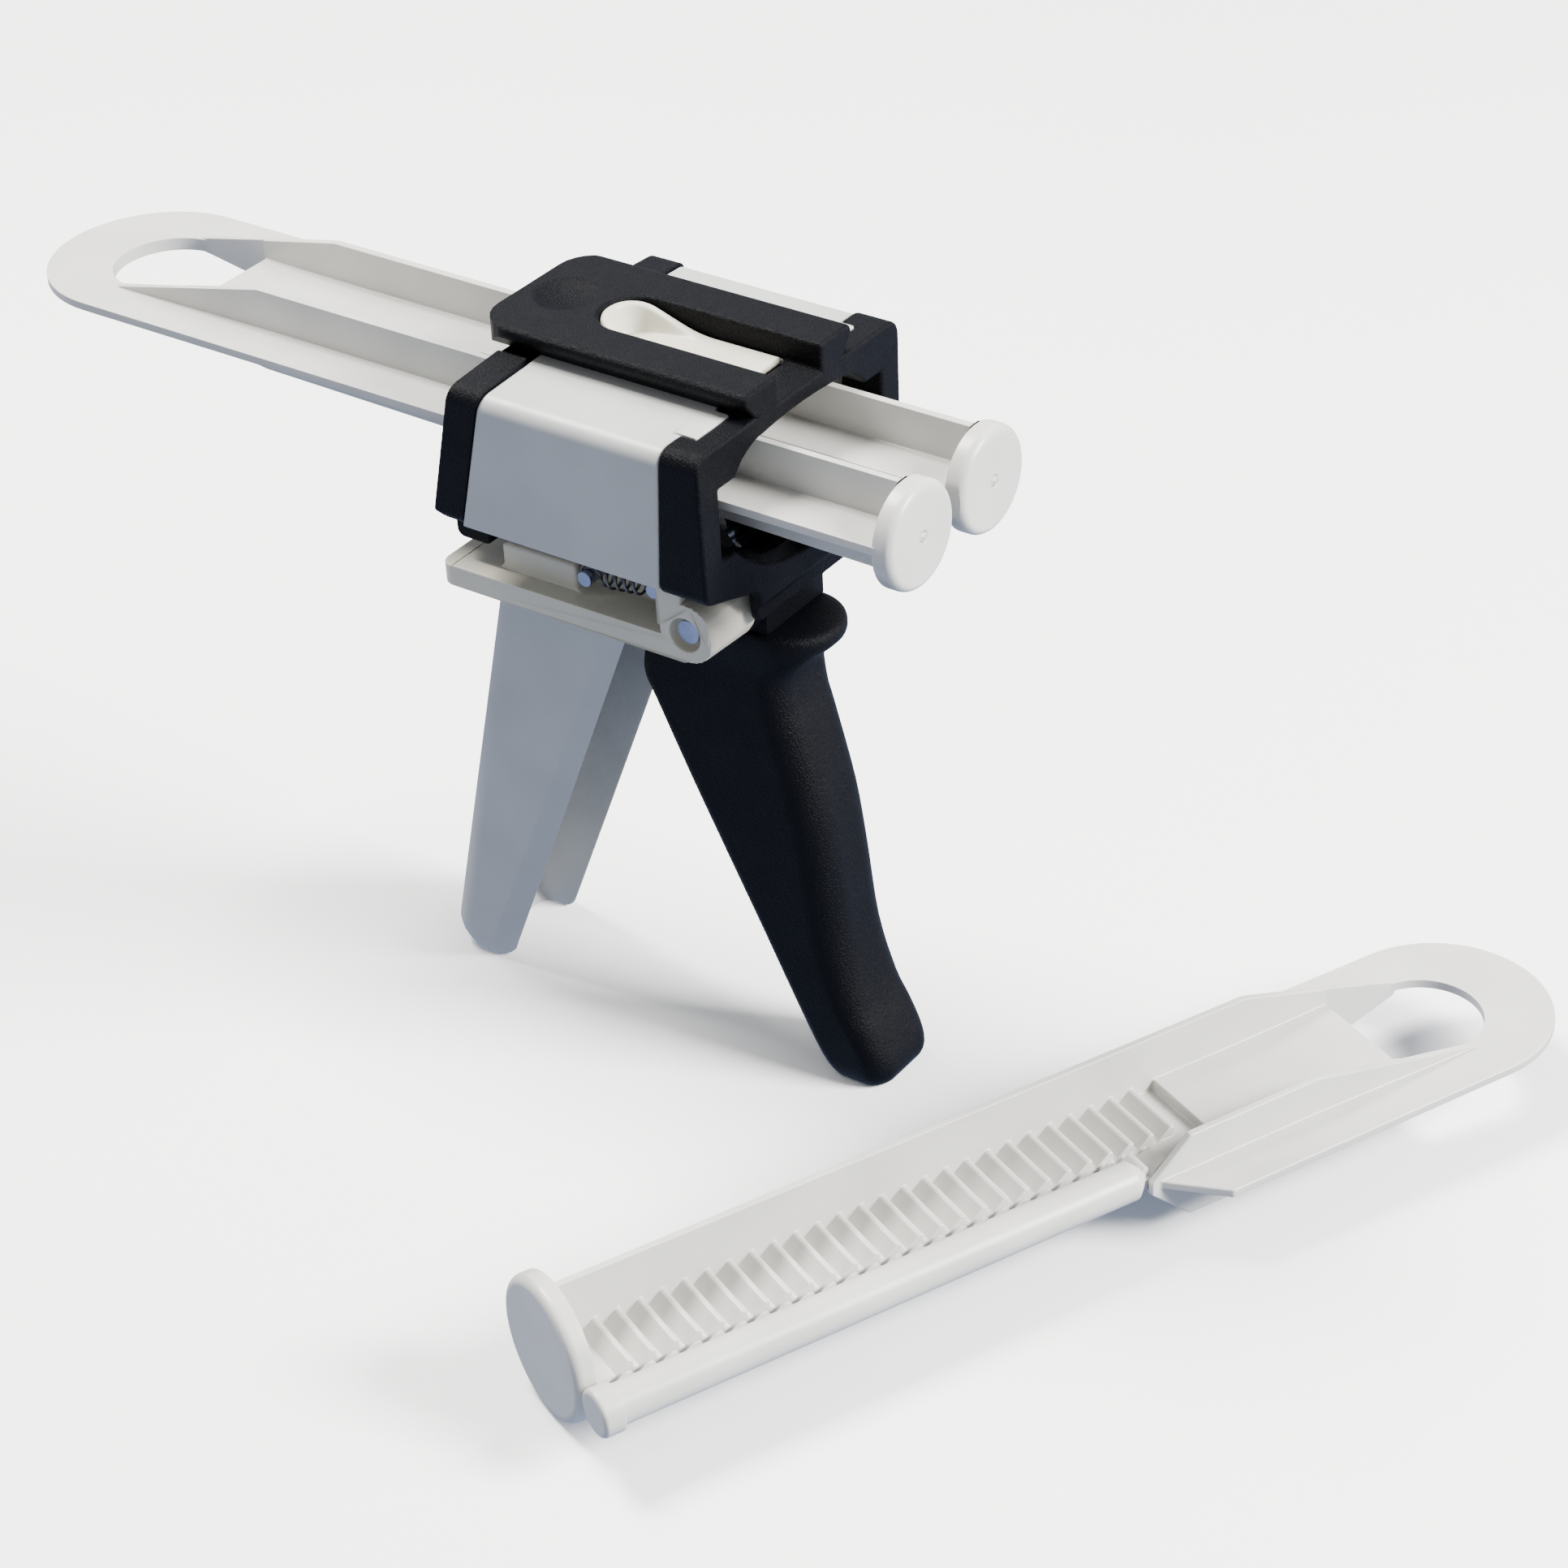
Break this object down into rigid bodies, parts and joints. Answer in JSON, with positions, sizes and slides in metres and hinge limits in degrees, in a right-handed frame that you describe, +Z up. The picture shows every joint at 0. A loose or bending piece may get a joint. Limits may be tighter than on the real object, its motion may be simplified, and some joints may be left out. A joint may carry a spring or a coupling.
{
  "type": "dual cartridge dispensing tool",
  "caption": "Hand tool that pushes a double plunger through a ratchet into a twin adhesive cartridge clipped to its front frame; a plunger for uneven barrels lies beside it.",
  "frame": {"origin": "on the front face and the middle plane, in the land under the cartridge opening, 17.4 mm below the barrel axes", "axes": "+X is the way the plunger pushes, out of the front face; +Z is up; +Y is to the left of a person who holds the tool"},
  "size_m": [0.2665, 0.1749, 0.1325],
  "materials": {
    "ink_plastic": "blue-black moulded plastic with a fine grain",
    "pale_grey_plastic": "smooth light grey moulded plastic",
    "cream_plastic": "smooth cream moulded plastic",
    "off_white_plastic": "off-white moulded plastic, slightly translucent look",
    "zinc_steel": "bluish zinc-plated steel",
    "spring_steel": "drawn spring wire",
    "pawl_steel": "hardened sheet steel"
  },
  "bodies": {
    "housing": {"front_frame": "ink_plastic", "saddle_cover": "pale_grey_plastic", "rear_band": "ink_plastic", "guide_tray": "cream_plastic", "grip": "pale_grey_plastic", "pivot_pin": "zinc_steel", "spring_anchor_pin": "zinc_steel", "holding_pawl_pin": "zinc_steel", "release_pin": "zinc_steel", "latch_pin": "zinc_steel", "return_spring_left": "spring_steel", "return_spring_right": "spring_steel", "latch_spring": "spring_steel", "holding_pawl_spring": "spring_steel"},
    "trigger": {"trigger": "ink_plastic", "drive_pawl_pin": "zinc_steel", "spring_bar": "zinc_steel", "drive_pawl_spring": "spring_steel"},
    "drive_pawl": {"drive_pawl": "pawl_steel"},
    "holding_pawl": {"holding_pawl": "pawl_steel"},
    "release_lever": {"release_lever": "ink_plastic"},
    "cartridge_latch": {"cartridge_latch": "cream_plastic"},
    "plunger": {"plunger": "off_white_plastic"},
    "spare_plunger": {"spare_plunger": "off_white_plastic"}
  },
  "joints": [
    {"name": "trigger_squeeze", "type": "hinge", "parent": "housing", "child": "trigger", "pos_m": [-0.0089, 0, -0.0057], "axis": [0, 1, 0], "range_deg": [0, 25], "stiffness_Nm_per_rad": 0.6, "springref_deg": -20.05},
    {"name": "drive_pawl_turn", "type": "hinge", "parent": "trigger", "child": "drive_pawl", "pos_m": [-0.0209, 0, 0.00772], "axis": [0, 1, 0], "range_deg": [0, 10], "stiffness_Nm_per_rad": 0.01, "springref_deg": -11.46},
    {"name": "release_press", "type": "hinge", "parent": "housing", "child": "release_lever", "pos_m": [-0.045, 0, 0.0009], "axis": [0, -1, 0], "range_deg": [0, 10], "stiffness_Nm_per_rad": 0.02, "springref_deg": -14.32},
    {"name": "holding_pawl_turn", "type": "hinge", "parent": "housing", "child": "holding_pawl", "pos_m": [-0.032, 0, 0.0079], "axis": [0, 1, 0], "range_deg": [0, 11.5], "stiffness_Nm_per_rad": 0.01, "springref_deg": -11.46},
    {"name": "latch_press", "type": "hinge", "parent": "housing", "child": "cartridge_latch", "pos_m": [-0.02, 0, 0.0299], "axis": [0, -1, 0], "range_deg": [0, 3], "stiffness_Nm_per_rad": 0.02, "springref_deg": -11.46},
    {"name": "plunger_slide", "type": "slide", "parent": "housing", "child": "plunger", "axis": [1, 0, 0], "range_m": [-0.029, 0.063]},
    {"name": "spare_lift", "type": "slide", "parent": "housing", "child": "spare_plunger", "axis": [0, 0, 1], "range_m": [0, 0.05]}
  ],
  "couplings": [
    {"joint": "holding_pawl_turn", "follows": "release_press", "ratio": 1.15}
  ]
}
